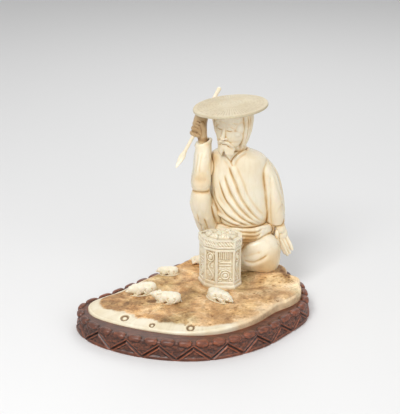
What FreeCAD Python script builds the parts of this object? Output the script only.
import FreeCAD, Part
import math
import os

# An okimono: a seated man in a straw hat, carved in sections from tusk and pegged
# together on a slab of tusk bark, which stands loose in a carved hardwood stand.
# Millimetres. The origin is under the middle of the stand, +X is to its right seen
# from the front, +Y is to the back and +Z is up.

V = FreeCAD.Vector
UP = V(0, 0, 1)
ACROSS = V(1, 0, 0)
BACK = V(0, 1, 0)

# Fits and common sizes
overrun = 3.0                 # how far a cutter or a sunk foot runs past its face
seat_gap = 0.3                # slab to the wall of its recess, all round
peg_fit = 0.05                # glue line round a peg and at its ends
running_clearance = 0.05      # staff in the pierced fist, on the radius
oval_points = 8               # points on each carved section

# Hardwood stand
stand_length = 204.0
stand_depth = 178.0
stand_height = 15.5
stand_batter = 2.5            # how far the wall leans in towards the top
stand_foot_chamfer = 1.0
ledge_width = 13.0            # flat ring between the slab and the outer edge
recess_depth = 4.0
# Outline seen from above, from the left tip by the front: across and back as shares
# of half the length and half the depth, and the ledge there as a share of its width
outline_shares = [
    (-1.00, -0.30, 0.85), (-0.95, -0.51, 1.00), (-0.83, -0.68, 1.25), (-0.65, -0.82, 1.40),
    (-0.43, -0.93, 1.45), (-0.20, -0.99, 1.35), (0.04, -1.00, 1.25), (0.27, -0.94, 1.15),
    (0.48, -0.82, 1.15), (0.65, -0.67, 1.20), (0.79, -0.49, 1.25), (0.93, -0.29, 0.95),
    (0.995, -0.08, 0.65), (1.00, 0.08, 0.62), (0.985, 0.22, 0.60), (0.95, 0.34, 1.05),
    (0.90, 0.46, 0.75), (0.80, 0.62, 0.80), (0.66, 0.78, 0.95), (0.48, 0.92, 0.90),
    (0.27, 1.00, 0.95), (0.05, 0.92, 1.00), (-0.17, 0.72, 1.05), (-0.38, 0.49, 1.05),
    (-0.60, 0.24, 1.00), (-0.82, 0.00, 0.90), (-0.96, -0.15, 0.80),
]

# Carved border of the stand
border_periods = 20           # one raised triangle and one hanging triangle each
groove_width = 2.4
groove_depth = 1.5
border_foot = 1.2             # plain wood under the zigzag
border_top = 11.5             # where the zigzag ends under the bumps
panel_depth = 1.0             # sunk middle of each raised triangle
panel_size_share = 0.52       # of the raised triangle
bump_radius = 6.2
bump_proud = 1.9              # bump top above the ledge
bump_out = 1.0                # and its side outside the wall

# Tusk slab
slab_thickness = 11.0         # at the middle of the stand
slab_rise_across_share = 0.020
slab_rise_back_share = 0.030
slab_rim_round = 2.2

# The man sits at this place on the slab, as shares of half the length and depth
seat_across_share = 0.412
seat_back_share = 0.545

# Robe: the torso above the sash
robe_width = 52.0
robe_depth = 42.0
robe_height = 71.0
robe_shares = [
    (0.00, 0.035, 0.00, 0.82, 0.88), (0.10, 0.015, 0.00, 0.90, 0.94), (0.24, -0.015, 0.00, 0.96, 0.98),
    (0.41, -0.040, 0.00, 1.00, 1.00), (0.63, -0.055, 0.00, 0.99, 0.98), (0.78, -0.055, -0.02, 0.96, 0.91),
    (0.88, -0.070, -0.05, 0.91, 0.80), (0.94, -0.130, -0.09, 0.74, 0.68), (0.98, -0.130, -0.135, 0.54, 0.55),
    (1.00, -0.110, -0.165, 0.38, 0.44),
]

# Skirt: hips and lap, from the slab to the roll of the sash at its top
skirt_width = 54.0
skirt_depth = 48.0
skirt_height = 42.0
skirt_shares = [
    (0.00, 0.00, 0.06, 0.84, 0.74), (0.20, 0.00, 0.04, 0.96, 0.88), (0.50, 0.01, 0.00, 0.98, 0.94),
    (0.72, 0.02, -0.02, 0.92, 0.88), (0.78, 0.02, -0.02, 0.93, 0.90), (0.84, 0.03, -0.03, 0.99, 0.98),
    (0.92, 0.03, -0.03, 1.00, 0.99), (0.97, 0.03, -0.02, 0.95, 0.95), (1.00, 0.03, 0.00, 0.84, 0.86),
]

# Folded left leg: lies on the slab from the hips out to the knee
left_leg_length = 38.5
left_leg_depth = 31.0
left_leg_height = 39.0
left_leg_turn = -6.0          # degrees, knee towards the front
left_leg_root_side = 3.0      # root to the left of the seat
left_leg_root_front = 10.5    # and in front of it
left_leg_lift_share = 0.37    # middle of the leg above the slab, of its height
left_leg_shares = [
    (0.00, 0.00, 0.00, 0.80, 0.72), (0.22, -0.02, 0.04, 0.96, 0.88), (0.48, -0.03, 0.05, 1.00, 1.00),
    (0.72, -0.02, 0.03, 0.94, 0.98), (0.88, 0.00, 0.00, 0.74, 0.80), (0.97, 0.00, -0.02, 0.42, 0.50),
    (1.00, 0.00, -0.02, 0.16, 0.20),
]

# Raised right leg: shin from the slab up to the knee, thigh back to the hips
shin_width = 18.6
shin_depth = 21.0
shin_height = 82.0
knee_side = 38.0              # knee to the left of the seat
knee_front = 13.0             # knee in front of the seat
shin_shares = [
    (0.00, 0.55, 0.62, 0.62, 0.66), (0.14, 0.57, 0.64, 0.66, 0.70), (0.30, 0.60, 0.56, 0.80, 0.82),
    (0.42, 0.54, 0.44, 0.90, 0.90), (0.47, 0.47, 0.38, 0.95, 0.94), (0.57, 0.33, 0.26, 0.99, 0.98),
    (0.71, 0.16, 0.10, 0.99, 1.04), (0.82, 0.10, 0.02, 1.00, 1.06), (0.90, 0.09, 0.00, 0.90, 0.98),
    (0.96, 0.10, 0.00, 0.62, 0.72), (1.00, 0.10, 0.00, 0.28, 0.34),
]
knee_cap = 4.0                # top of the knee above the thigh
thigh_back = 5.5              # thigh behind the line from the knee to the seat
thigh_width = 18.0
thigh_height = 22.0
thigh_shares = [
    (0.00, 0.00, 0.00, 0.62, 0.66), (0.15, 0.00, 0.00, 0.86, 0.84), (0.55, 0.00, 0.00, 1.00, 1.00),
    (1.00, 0.00, 0.00, 1.06, 1.10),
]

# Right foot, under the shin
foot_length = 26.0
foot_width = 12.0
foot_height = 12.0
foot_turn = 188.0             # degrees, toes to the left
foot_behind_share = 0.46      # heel behind the ankle, of the foot's length
foot_lift_share = 0.42
foot_shares = [
    (0.00, 0.00, 0.00, 0.40, 0.40), (0.10, 0.00, 0.00, 0.78, 0.80), (0.35, 0.00, 0.00, 0.86, 1.00),
    (0.70, 0.00, -0.10, 1.00, 0.78), (0.92, 0.00, -0.16, 0.86, 0.56), (1.00, 0.00, -0.18, 0.50, 0.34),
]

# Hanging left arm in its sleeve, cloth that falls below its mouth, and the open hand
left_sleeve_width = 18.4
left_sleeve_depth = 27.0
left_sleeve_length = 64.0
left_sleeve_shares = [
    (0.00, 0.03, 0.00, 0.95, 0.80), (0.13, 0.00, 0.00, 0.98, 0.93), (0.28, -0.06, 0.00, 0.99, 0.98),
    (0.47, -0.19, 0.00, 0.99, 1.00), (0.68, -0.38, 0.00, 0.97, 0.96), (0.83, -0.56, 0.00, 0.84, 0.81),
    (0.93, -0.72, 0.00, 0.62, 0.59), (1.00, -0.86, 0.00, 0.27, 0.26),
]
sleeve_side_share = 0.59      # mouth of the sleeve to the right of the collar, of the robe's width
shoulder_drop = 8.5           # top of the sleeve under the top of the robe
fall_width = 10.0
fall_depth = 19.0
fall_length = 17.0
fall_side = -3.8              # from the middle of the sleeve's mouth
fall_shares = [
    (0.00, 0.10, 0.00, 0.40, 0.38), (0.28, 0.08, 0.00, 0.70, 0.64), (1.00, 0.00, 0.00, 0.95, 0.94),
    (1.35, 0.00, 0.00, 1.00, 1.00),
]
left_hand_width = 11.4
left_hand_depth = 8.5
left_hand_length = 28.5
left_hand_side = 12.7         # fingertips from the middle of the sleeve's mouth
left_hand_front = 5.5
left_hand_in_sleeve = 1.5
left_hand_shares = [
    (0.00, 0.00, 0.00, 0.42, 0.50), (0.08, -0.06, 0.00, 0.70, 0.76), (0.22, -0.22, 0.00, 0.90, 0.88),
    (0.42, -0.43, 0.02, 0.97, 0.98), (0.62, -0.55, 0.04, 0.88, 0.94), (0.82, -0.64, 0.06, 0.71, 0.84),
    (1.00, -0.69, 0.06, 0.67, 0.80),
]

# Right forearm in its sleeve: stands on the knee, up to the fist
right_sleeve_width = 17.5
right_sleeve_depth = 22.5
elbow_side = 2.0              # sleeve foot to the right of the knee
elbow_sink = 5.5              # how far the sleeve wraps down round the knee
right_sleeve_shares = [
    (0.00, 0.00, 0.05, 0.86, 0.84), (0.10, -0.02, 0.05, 0.98, 0.98), (0.20, -0.01, 0.05, 1.00, 1.00),
    (0.34, 0.03, 0.07, 0.92, 0.94), (0.53, 0.07, 0.12, 0.86, 0.85), (0.72, 0.10, 0.18, 0.83, 0.76),
    (1.00, 0.12, 0.25, 0.84, 0.69),
]
upper_arm_width = 14.0
upper_arm_height = 17.0
upper_arm_back = 4.0          # shoulder end behind the middle of the torso
upper_arm_inset_share = 0.36
upper_arm_climb = 8.0         # shoulder end above the elbow end
upper_arm_rise_share = 0.34   # where it joins the forearm, of the sleeve's height
upper_arm_shares = [
    (0.00, 0.00, 0.00, 0.80, 0.86), (0.30, 0.00, 0.00, 1.00, 1.00), (1.00, 0.00, 0.00, 1.14, 1.20),
]

# Right fist, pierced for the staff
fist_width = 12.5
fist_depth = 15.0
fist_height = 28.0
fist_side = 37.0              # fist to the left of the seat
fist_front = 5.0
fist_under_hat = 1.2          # gap from the fist to the straw above it
cuff_overlap = 2.0            # wrist inside the cuff
fist_shares = [
    (0.00, 0.20, -0.14, 0.64, 0.56), (0.16, 0.14, -0.10, 0.72, 0.64), (0.34, 0.00, 0.00, 0.96, 0.92),
    (0.60, 0.02, 0.04, 1.00, 1.00), (0.84, 0.14, 0.08, 0.88, 0.86), (0.96, 0.19, 0.10, 0.60, 0.62),
    (1.00, 0.20, 0.10, 0.34, 0.36),
]

# Head, neck, hair and beard
head_width = 32.0
head_depth = 36.0
head_side = 8.2               # middle of the head to the left of the seat
head_front = 14.0             # and in front of it
head_shares = [
    (0.00, -0.15, -0.24, 0.34, 0.30), (0.10, -0.12, -0.17, 0.58, 0.56), (0.27, -0.06, -0.06, 0.84, 0.82),
    (0.45, 0.00, 0.00, 0.97, 0.95), (0.66, 0.01, 0.02, 1.00, 1.00), (0.82, 0.00, 0.02, 0.92, 0.92),
    (1.00, 0.00, 0.02, 0.70, 0.72),
]
chin_above_collar = 5.0
crown_in_hat = 2.0            # the head's form runs on into the hat's hollow
neck_radius = 8.5
throat_side = 4.0             # foot of the neck to the left of the torso's middle
throat_front = 6.5            # and in front of it
neck_sink = 5.0               # neck inside the collar
neck_back = 5.0               # behind the middle of the head
hair_width = 16.0
hair_depth = 26.0
hair_side = 8.5               # to the right of the middle of the head
hair_back = 3.5
hair_shares = [
    (-0.14, -0.16, 0.10, 0.36, 0.40), (0.00, -0.10, 0.04, 0.56, 0.60), (0.14, 0.00, 0.00, 0.80, 0.82),
    (0.40, 0.05, 0.00, 1.00, 1.00), (0.75, 0.03, 0.02, 1.00, 1.00), (1.00, -0.10, 0.02, 0.80, 0.80),
]
beard_length = 10.0
beard_root_radius = 4.2
beard_tip_radius = 0.8
beard_fork = 5.2              # from the middle of the beard to each tip
beard_sink = 4.0              # root of the beard above the chin

# Straw hat
hat_radius = 32.2
hat_edge = 2.6
hat_dome = 2.0
hat_tilt = 5.6                # degrees, up on the right
hat_side = 10.8               # hat centre to the left of the seat
hat_front = 14.0
hat_above_collar = 38.4       # underside of the hat at its middle

# Staff
staff_radius = 1.5
staff_above_grip = 46.0
staff_below_grip = 28.0
staff_hat_gap = 3.0           # from the rim out to the staff, level with it
staff_pass_angle = 111.0      # degrees round the rim where the staff passes it
grip_height_share = 0.36      # of the fist
grip_side_share = -0.20       # of the fist's width
leaf_length = 15.0
leaf_lap = 3.0                # leaf over the end of the rod
leaf_width = 6.0
leaf_thickness = 3.8
leaf_shares = [
    (0.00, 0.00, 0.00, 0.36, 0.58), (0.14, 0.00, 0.00, 0.78, 0.98), (0.34, 0.00, 0.00, 1.00, 1.00),
    (0.64, 0.00, 0.00, 0.76, 0.80), (0.90, 0.00, 0.00, 0.36, 0.44), (1.00, 0.00, 0.00, 0.14, 0.20),
]

# Octagonal box in front of the man
box_width = 36.5
box_depth = 26.0
box_height = 38.0             # slab to the underside of the rim
box_rim_height = 7.8
box_side = 19.4               # middle of the box to the left of the seat
box_front = 39.0              # and in front of it
box_plinth_height = 3.6
box_plinth_proud = 0.9
box_lip_share = 0.6           # upright part of the plinth
box_groove = 0.8
box_rim_proud = 0.7
box_wall = 3.0
box_lid_height = 3.6
box_lid_crown = 1.6           # carved relief above the rim
box_lid_slope = 6.0           # how far the relief draws in towards its top
box_lid_fit = 0.1
# Corners as shares of the width and the depth, from the front left
box_corner_shares = [
    (-0.10, -0.50), (0.335, -0.50), (0.495, -0.17), (0.50, 0.18),
    (0.285, 0.50), (-0.21, 0.50), (-0.50, 0.235), (-0.375, -0.246),
]

# Mice
mouse_length = 27.0           # the largest one, nose to rump
mouse_height_share = 0.42     # of a mouse's length
mouse_lift_share = 0.40       # middle of the body above the slab, of its height
mouse_shares = [
    (0.00, 0.00, -0.26, 0.14, 0.16), (0.10, 0.00, -0.14, 0.44, 0.44), (0.26, 0.00, -0.04, 0.74, 0.74),
    (0.42, 0.00, 0.00, 0.82, 0.86), (0.68, 0.00, 0.00, 1.00, 1.00), (0.88, 0.00, -0.04, 0.90, 0.86),
    (1.00, 0.00, -0.16, 0.38, 0.44),
]
# Name, place as shares of half the length and half the depth of the stand, length as
# a share of the largest, width as a share of the length, heading of the nose in degrees
mouse_rows = [
    ("mouse_left", (-0.450, -0.090), 1.00, 0.42, 196.0),
    ("mouse_front", (-0.235, -0.270), 0.98, 0.40, 172.0),
    ("mouse_back", (-0.240, 0.310), 0.76, 0.42, 178.0),
    ("mouse_by_box", (0.220, -0.255), 0.98, 0.50, -40.0),
]

# Pegs
peg_radius = 1.6
small_peg_radius = 1.0
peg_length = 12.0
small_peg_length = 7.0
hat_peg_bite = 3.0            # peg inside the hat
waist_peg_gap = 24.0          # between the two waist pegs, and the two seat pegs
box_peg_share = 0.7           # of that gap, between the two box pegs
shoulder_peg_share = 0.43     # of the robe's width, from its middle
shoulder_peg_drop = 29.0      # under the collar

parts = {}


# Carving helpers

def ring(middle, wide, high, half_wide, half_high):
    """A closed oval through evenly turned points, in the plane of two directions."""
    points = []
    for index in range(oval_points):
        angle = 2 * math.pi * index / oval_points
        points.append(middle + wide * (half_wide * math.cos(angle)) + high * (half_high * math.sin(angle)))
    curve = Part.BSplineCurve()
    curve.interpolate(Points=points, PeriodicFlag=True)
    return Part.Wire([curve.toShape()])


def stack(foot, width, depth, height, shares):
    """A solid through level ovals: rows of height, shift across, shift back, width and depth."""
    rings = []
    for up, across, back, wide, deep in shares:
        middle = foot + V(across * width, back * depth, up * height)
        rings.append(ring(middle, ACROSS, BACK, wide * width / 2, deep * depth / 2))
    return Part.makeLoft(rings, True, False)


def limb(start, end, width, height, shares):
    """A solid through ovals square to the line from start to end, on the same kind of rows."""
    along = end - start
    side = UP.cross(along).normalize()
    top = V(along).normalize().cross(side)
    rings = []
    for share, across, up, wide, tall in shares:
        middle = start + along * share + side * (across * width) + top * (up * height)
        rings.append(ring(middle, side, top, wide * width / 2, tall * height / 2))
    return Part.makeLoft(rings, True, False)


def bar(start, end, radius):
    """A round bar between two points."""
    return Part.makeCylinder(radius, (end - start).Length, start, end - start)


def cut_by(name, *others):
    """Takes the named neighbours out of a piece, so that the two meet face to face."""
    parts[name] = parts[name].cut([parts[other] for other in others])


def largest(shape):
    """The main solid, without the crumbs that a cut can leave."""
    return max(shape.Solids, key=lambda solid: solid.Volume)


# Outlines of the stand and the slab

def outline(inset, by_ledge=0.0):
    """Points of the egg outline, moved in by an inset and by a part of the local ledge."""
    plain = [V(x * stand_length / 2, y * stand_depth / 2, 0) for x, y, ledge in outline_shares]
    count = len(plain)
    moved = []
    for index, point in enumerate(plain):
        run = plain[(index + 1) % count] - plain[index - 1]
        inward = V(-run.y, run.x, 0).normalize()
        ledge = outline_shares[index][2] * ledge_width
        moved.append(point + inward * (inset + by_ledge * ledge))
    return moved


def slab_top(x, y):
    """Height of the slab's upper face, which rises a little to the right and the back."""
    base = stand_height - recess_depth + slab_thickness
    return base + slab_rise_across_share * x + slab_rise_back_share * y


def closed(points):
    """One smooth closed curve through the points."""
    curve = Part.BSplineCurve()
    curve.interpolate(Points=points, PeriodicFlag=True)
    return Part.Wire([curve.toShape()])


def level(points, height):
    return closed([V(p.x, p.y, height) for p in points])


def on_slab(points, below):
    return closed([V(p.x, p.y, slab_top(p.x, p.y) - below) for p in points])


# Hardwood stand: battered wall, recess for the slab, zigzag border and bumps
foot_edge = level(outline(stand_foot_chamfer), 0)
wall_foot = level(outline(0), stand_foot_chamfer)
wall_top = level(outline(stand_batter), stand_height)
stand = Part.makeLoft([foot_edge, wall_foot, wall_top], True, True)


def wall_line(height):
    """The wall's curve at one height, as evenly spaced points, two to a period, and the inward normals."""
    lean = stand_batter * (height - stand_foot_chamfer) / (stand_height - stand_foot_chamfer)
    points = level(outline(lean), height).discretize(Number=2 * border_periods + 1)[:-1]
    normals = []
    for index, point in enumerate(points):
        run = points[(index + 1) % len(points)] - points[index - 1]
        normals.append(V(-run.y, run.x, 0).normalize())
    return points, normals


low_points, low_normals = wall_line(border_foot)
high_points, high_normals = wall_line(border_top)
bumps = []
for point, inward in zip(*wall_line(stand_height)):
    middle = point + inward * (bump_radius - bump_out) - UP * (bump_radius - bump_proud)
    bumps.append(Part.makeSphere(bump_radius, middle))
stand = stand.fuse(bumps)
cutters = []
for index in range(2 * border_periods):
    after = (index + 1) % (2 * border_periods)
    rises = index % 2 == 0
    start = low_points[index] if rises else high_points[index]
    end = high_points[after] if rises else low_points[after]
    inward = (low_normals[index] + high_normals[after]).normalize()
    along = V(end - start).normalize()
    side = along.cross(inward)
    lip = start - inward * groove_depth
    corners = [lip + side * groove_width, lip - side * groove_width, start + inward * groove_depth]
    face = Part.Face(Part.makePolygon(corners + corners[:1]))
    cutters.append(face.extrude(end - start))
for index in range(1, 2 * border_periods, 2):
    foot_left = low_points[index - 1]
    foot_right = low_points[(index + 1) % (2 * border_periods)]
    peak = high_points[index]
    inward = low_normals[index]
    middle = (foot_left + foot_right + peak) * (1 / 3)
    corners = [middle + (point - middle) * panel_size_share for point in (foot_left, foot_right, peak)]
    corners = [point - inward * panel_depth for point in corners]
    face = Part.Face(Part.makePolygon(corners + corners[:1]))
    cutters.append(face.extrude(inward * (2 * panel_depth)))
recess_floor = stand_height - recess_depth
recess_edge = outline(-seat_gap, 1)
recess = Part.makeLoft([level(recess_edge, recess_floor), level(recess_edge, stand_height + overrun)], True, True)
parts["wooden_stand"] = stand.cut(cutters + [recess])

# Tusk slab: bark face up, rim rounded over
slab_edge = outline(0, 1)
slab_crown = outline(slab_rim_round, 1)
parts["tusk_slab"] = Part.makeLoft(
    [level(slab_edge, recess_floor), on_slab(slab_edge, slab_rim_round), on_slab(slab_crown, 0)], True, True)

# Places that the figure hangs on
seat = V(seat_across_share * stand_length / 2, seat_back_share * stand_depth / 2, 0)
seat.z = slab_top(seat.x, seat.y)
waist = seat + UP * skirt_height
collar = waist + UP * robe_height

# Skirt, which swells into the roll of the sash, and the torso above it
parts["robe_skirt"] = stack(seat - UP * overrun, skirt_width, skirt_depth, skirt_height + overrun, skirt_shares)
parts["robe_body"] = stack(waist, robe_width, robe_depth, robe_height, robe_shares)

# Folded left leg, from under the sash out to the knee
leg_turn = math.radians(left_leg_turn)
leg_root = seat + V(-left_leg_root_side, -left_leg_root_front, left_leg_height * left_leg_lift_share)
leg_knee = leg_root + V(math.cos(leg_turn), math.sin(leg_turn), 0) * left_leg_length
parts["left_leg"] = limb(leg_root, leg_knee, left_leg_depth, left_leg_height, left_leg_shares)

# Raised right leg: shin and thigh in one piece, and the foot under it
knee = seat + V(-knee_side, -knee_front, 0)
shin = stack(knee - UP * overrun, shin_width, shin_depth, shin_height + overrun, shin_shares)
knee_heart = knee + V(0, thigh_back, shin_height - thigh_height / 2 - knee_cap)
hip = seat + V(0, thigh_back, skirt_height - thigh_height / 2)
thigh = limb(knee_heart, hip, thigh_width, thigh_height, thigh_shares)
parts["right_leg"] = shin.fuse(thigh)
ankle = knee + V(shin_shares[0][1] * shin_width, shin_shares[0][2] * shin_depth, foot_height * foot_lift_share)
foot_heading = math.radians(foot_turn)
foot_run = V(math.cos(foot_heading), math.sin(foot_heading), 0)
heel = ankle - foot_run * (foot_length * foot_behind_share)
parts["right_foot"] = limb(heel, heel + foot_run * foot_length, foot_width, foot_height, foot_shares)

# Left arm: the sleeve, the cloth that falls below its mouth, and the open hand
mouth = collar + V(robe_width * sleeve_side_share, 0, -shoulder_drop - left_sleeve_length)
sleeve = stack(mouth, left_sleeve_width, left_sleeve_depth, left_sleeve_length, left_sleeve_shares)
fall = stack(mouth + V(fall_side, 0, -fall_length), fall_width, fall_depth, fall_length, fall_shares)
parts["left_sleeve"] = sleeve.fuse(fall)
fingertips = mouth + V(left_hand_side, -left_hand_front, left_hand_in_sleeve - left_hand_length)
parts["left_hand"] = stack(fingertips, left_hand_width, left_hand_depth, left_hand_length, left_hand_shares)

# Straw hat: a shallow dome on a round edge, tipped up on its right
hat_heart = collar + V(-hat_side, -hat_front, hat_above_collar)
dome_radius = (hat_radius ** 2 + hat_dome ** 2) / (2 * hat_dome)
hat_profile = Part.Wire([
    Part.makeLine(V(0, 0, 0), V(hat_radius, 0, 0)),
    Part.makeLine(V(hat_radius, 0, 0), V(hat_radius, 0, hat_edge)),
    Part.Arc(V(hat_radius, 0, hat_edge), V(hat_radius / 2, 0, hat_edge + hat_dome - dome_radius
             + math.sqrt(dome_radius ** 2 - (hat_radius / 2) ** 2)), V(0, 0, hat_edge + hat_dome)).toShape(),
    Part.makeLine(V(0, 0, hat_edge + hat_dome), V(0, 0, 0)),
])
tipping = FreeCAD.Rotation(BACK, -hat_tilt)
hat = Part.Face(hat_profile).revolve(V(0, 0, 0), UP, 360)
hat.Placement = FreeCAD.Placement(hat_heart, tipping)
parts["hat"] = hat

# Right arm: fist under the hat's rim, cuff and forearm down to the knee, upper arm behind
fist_middle = seat + V(-fist_side, -fist_front, 0)
rim_drop = (hat_heart.x - fist_middle.x) * math.tan(math.radians(hat_tilt))
fist_middle.z = hat_heart.z - rim_drop - fist_under_hat - fist_height
parts["right_hand"] = stack(fist_middle, fist_width, fist_depth, fist_height, fist_shares)
elbow = knee + V(elbow_side, 0, shin_height - elbow_sink)
forearm_height = fist_middle.z + cuff_overlap - elbow.z
forearm = stack(elbow, right_sleeve_width, right_sleeve_depth, forearm_height, right_sleeve_shares)
elbow_heart = elbow + UP * (forearm_height * upper_arm_rise_share)
elbow_heart.y += upper_arm_back
right_shoulder = V(collar.x - robe_width * upper_arm_inset_share, collar.y + upper_arm_back,
                   elbow_heart.z + upper_arm_climb)
upper_arm = limb(elbow_heart, right_shoulder, upper_arm_width, upper_arm_height, upper_arm_shares)
parts["right_sleeve"] = forearm.fuse(upper_arm)

# Head with its neck, hair and forked beard
chin = collar + V(-head_side, -head_front, chin_above_collar)
crown_height = hat_above_collar - chin_above_collar + crown_in_hat
skull = stack(chin, head_width, head_depth, crown_height, head_shares)
hair = stack(chin + V(hair_side, hair_back, 0), hair_width, hair_depth, crown_height, hair_shares)
nape = chin + V(0, neck_back, crown_height / 2)
throat = collar + V(-throat_side, -throat_front, -neck_sink)
neck = bar(throat, nape, neck_radius)
beard_heart = chin + V(head_shares[0][1] * head_width, head_shares[0][2] * head_depth, beard_sink)
tips = []
for side in (-1, 1):
    tip = beard_heart + V(side * beard_fork, 0, -beard_length - beard_sink)
    tips.append(Part.makeCone(beard_root_radius, beard_tip_radius, (tip - beard_heart).Length, beard_heart,
                              tip - beard_heart))
parts["head"] = skull.fuse([hair, neck] + tips)

# Staff: through the fist and past the back of the hat's rim
grip = fist_middle + V(grip_side_share * fist_width, 0, grip_height_share * fist_height)
around = math.radians(staff_pass_angle)
beyond = hat_radius + staff_hat_gap + staff_radius
rim_point = V(beyond * math.cos(around), beyond * math.sin(around), hat_edge / 2)
past_rim = hat_heart + tipping.multVec(rim_point)
staff_run = (past_rim - grip).normalize()
staff_foot = grip - staff_run * staff_below_grip
staff_top = grip + staff_run * staff_above_grip
shaft = bar(staff_foot, staff_top, staff_radius).fuse(Part.makeSphere(staff_radius, staff_top))
leaf = limb(staff_foot + staff_run * leaf_lap, staff_foot - staff_run * leaf_length,
            leaf_width, leaf_thickness, leaf_shares)
parts["staff"] = shaft.fuse(leaf)
bore = bar(staff_foot, staff_top, staff_radius + running_clearance)
parts["right_hand"] = parts["right_hand"].cut(bore)


# Octagonal box: body with plinth and groove, rim, and the lid inside the rim
def box_outline(proud, height):
    """The box's eight corners at a height, moved out by the same amount on each side."""
    wide = (box_width + 2 * proud) / box_width
    deep = (box_depth + 2 * proud) / box_depth
    corners = []
    for across, back in box_corner_shares:
        corners.append(box_place + V(across * box_width * wide, back * box_depth * deep, height))
    return Part.makePolygon(corners + corners[:1])


def box_layer(proud_low, low, proud_high, high):
    return Part.makeLoft([box_outline(proud_low, low), box_outline(proud_high, high)], True, True)


box_place = seat + V(-box_side, -box_front, 0)
box_place.z = slab_top(box_place.x, box_place.y)
plinth_lip = box_plinth_height * box_lip_share
rim_top = box_height + box_rim_height
plinth = box_layer(box_plinth_proud, -overrun, box_plinth_proud, plinth_lip)
plinth_slope = box_layer(box_plinth_proud, plinth_lip, 0, box_plinth_height)
body = box_layer(0, box_plinth_height, 0, box_height - box_groove)
neck_line = box_layer(-box_groove, box_height - box_groove, -box_groove, box_height)
parts["box_body"] = plinth.fuse([plinth_slope, body, neck_line])
rim = box_layer(0, box_height, box_rim_proud, box_height + box_groove)
rim = rim.fuse(box_layer(box_rim_proud, box_height + box_groove, box_rim_proud, rim_top))
lid_seat = rim_top - box_lid_height
rim = rim.cut(box_layer(-box_wall, lid_seat, -box_wall, rim_top + overrun))
parts["box_rim"] = rim
lid_edge = -box_wall - box_lid_fit
lid = box_layer(lid_edge, lid_seat, lid_edge, rim_top)
parts["box_lid"] = lid.fuse(box_layer(lid_edge, rim_top, -box_wall - box_lid_slope, rim_top + box_lid_crown))

# Mice: nose first, each a swelling body that the slab cuts flat underneath
for name, (across, back), size_share, plump_share, heading in mouse_rows:
    length = mouse_length * size_share
    width = length * plump_share
    height = length * mouse_height_share
    middle = V(across * stand_length / 2, back * stand_depth / 2, 0)
    middle.z = slab_top(middle.x, middle.y) + height * mouse_lift_share
    turn = math.radians(heading)
    run = V(math.cos(turn), math.sin(turn), 0)
    nose = middle + run * (length / 2)
    parts[name] = limb(nose, middle - run * (length / 2), width, height, mouse_shares)

# Neighbours meet face to face
robe = parts["robe_body"].cut(neck)
parts["robe_body"] = robe
cut_by("box_body", "tusk_slab")
cut_by("robe_skirt", "tusk_slab", "box_body", "box_rim")
cut_by("left_leg", "tusk_slab", "box_body", "box_rim", "robe_skirt")
cut_by("right_leg", "tusk_slab", "box_body", "box_rim", "robe_skirt", "robe_body")
cut_by("right_foot", "tusk_slab", "box_body", "right_leg", "robe_skirt")
cut_by("left_sleeve", "robe_body", "robe_skirt", "left_leg")
cut_by("left_hand", "left_sleeve", "left_leg")
cut_by("right_sleeve", "right_leg", "robe_body")
cut_by("right_hand", "right_sleeve")
cut_by("head", "hat", "robe_body")
for name in [row[0] for row in mouse_rows]:
    cut_by(name, "tusk_slab")


# Pegs, each in a matching hole in the two pieces that it holds
def peg(name, middle, direction, radius, length, *hosts):
    """Adds one peg to its group and drills its hosts for it."""
    half = V(direction).normalize() * (length / 2)
    fit = V(direction).normalize() * peg_fit
    pegs.setdefault(name, []).append(bar(middle - half, middle + half, radius))
    drill = bar(middle - half - fit, middle + half + fit, radius + peg_fit)
    for host in hosts:
        drills.setdefault(host, []).append(drill)


pegs = {}
drills = {}
peg("neck_peg", throat, UP, peg_radius, peg_length, "head", "robe_body")
hat_axis = tipping.multVec(UP)
hat_peg_middle = hat_heart + hat_axis * (hat_peg_bite - peg_length / 2)
peg("hat_peg", hat_peg_middle, hat_axis, peg_radius, peg_length, "hat", "head")
left_wrist = mouth + V(left_hand_side + left_hand_shares[-1][1] * left_hand_width, -left_hand_front, 0)
peg("left_wrist_peg", left_wrist, UP, small_peg_radius, small_peg_length, "left_hand", "left_sleeve")
right_wrist = fist_middle + V(fist_shares[0][1] * fist_width, fist_shares[0][2] * fist_depth, cuff_overlap)
peg("right_wrist_peg", right_wrist, UP, small_peg_radius, small_peg_length, "right_hand", "right_sleeve")
shoulder_side = V(collar.x + robe_width * shoulder_peg_share, collar.y, collar.z - shoulder_peg_drop)
peg("left_shoulder_peg", shoulder_side, ACROSS, small_peg_radius, small_peg_length, "robe_body", "left_sleeve")
knee_top = elbow + UP * elbow_sink
peg("right_elbow_peg", knee_top, UP, peg_radius, peg_length, "right_leg", "right_sleeve")
for side in (-1, 1):
    apart = ACROSS * (side * waist_peg_gap / 2)
    peg("waist_pegs", waist + apart, UP, peg_radius, peg_length, "robe_skirt", "robe_body")
    peg("seat_pegs", seat + apart, UP, peg_radius, peg_length, "robe_skirt", "tusk_slab")
    peg("box_pegs", box_place + apart * box_peg_share, UP, peg_radius, peg_length, "box_body", "tusk_slab")
for name, (across, back) in [row[:2] for row in mouse_rows]:
    place = V(across * stand_length / 2, back * stand_depth / 2, 0)
    place.z = slab_top(place.x, place.y)
    peg("mouse_pegs", place, UP, small_peg_radius, small_peg_length, name, "tusk_slab")
for host, holes in drills.items():
    parts[host] = parts[host].cut(holes)

os.makedirs("parts", exist_ok=True)
for name, shape in parts.items():
    largest(shape).exportStep("parts/" + name + ".step")
for name, bars in pegs.items():
    group = bars[0] if len(bars) == 1 else Part.makeCompound(bars)
    group.exportStep("parts/" + name + ".step")
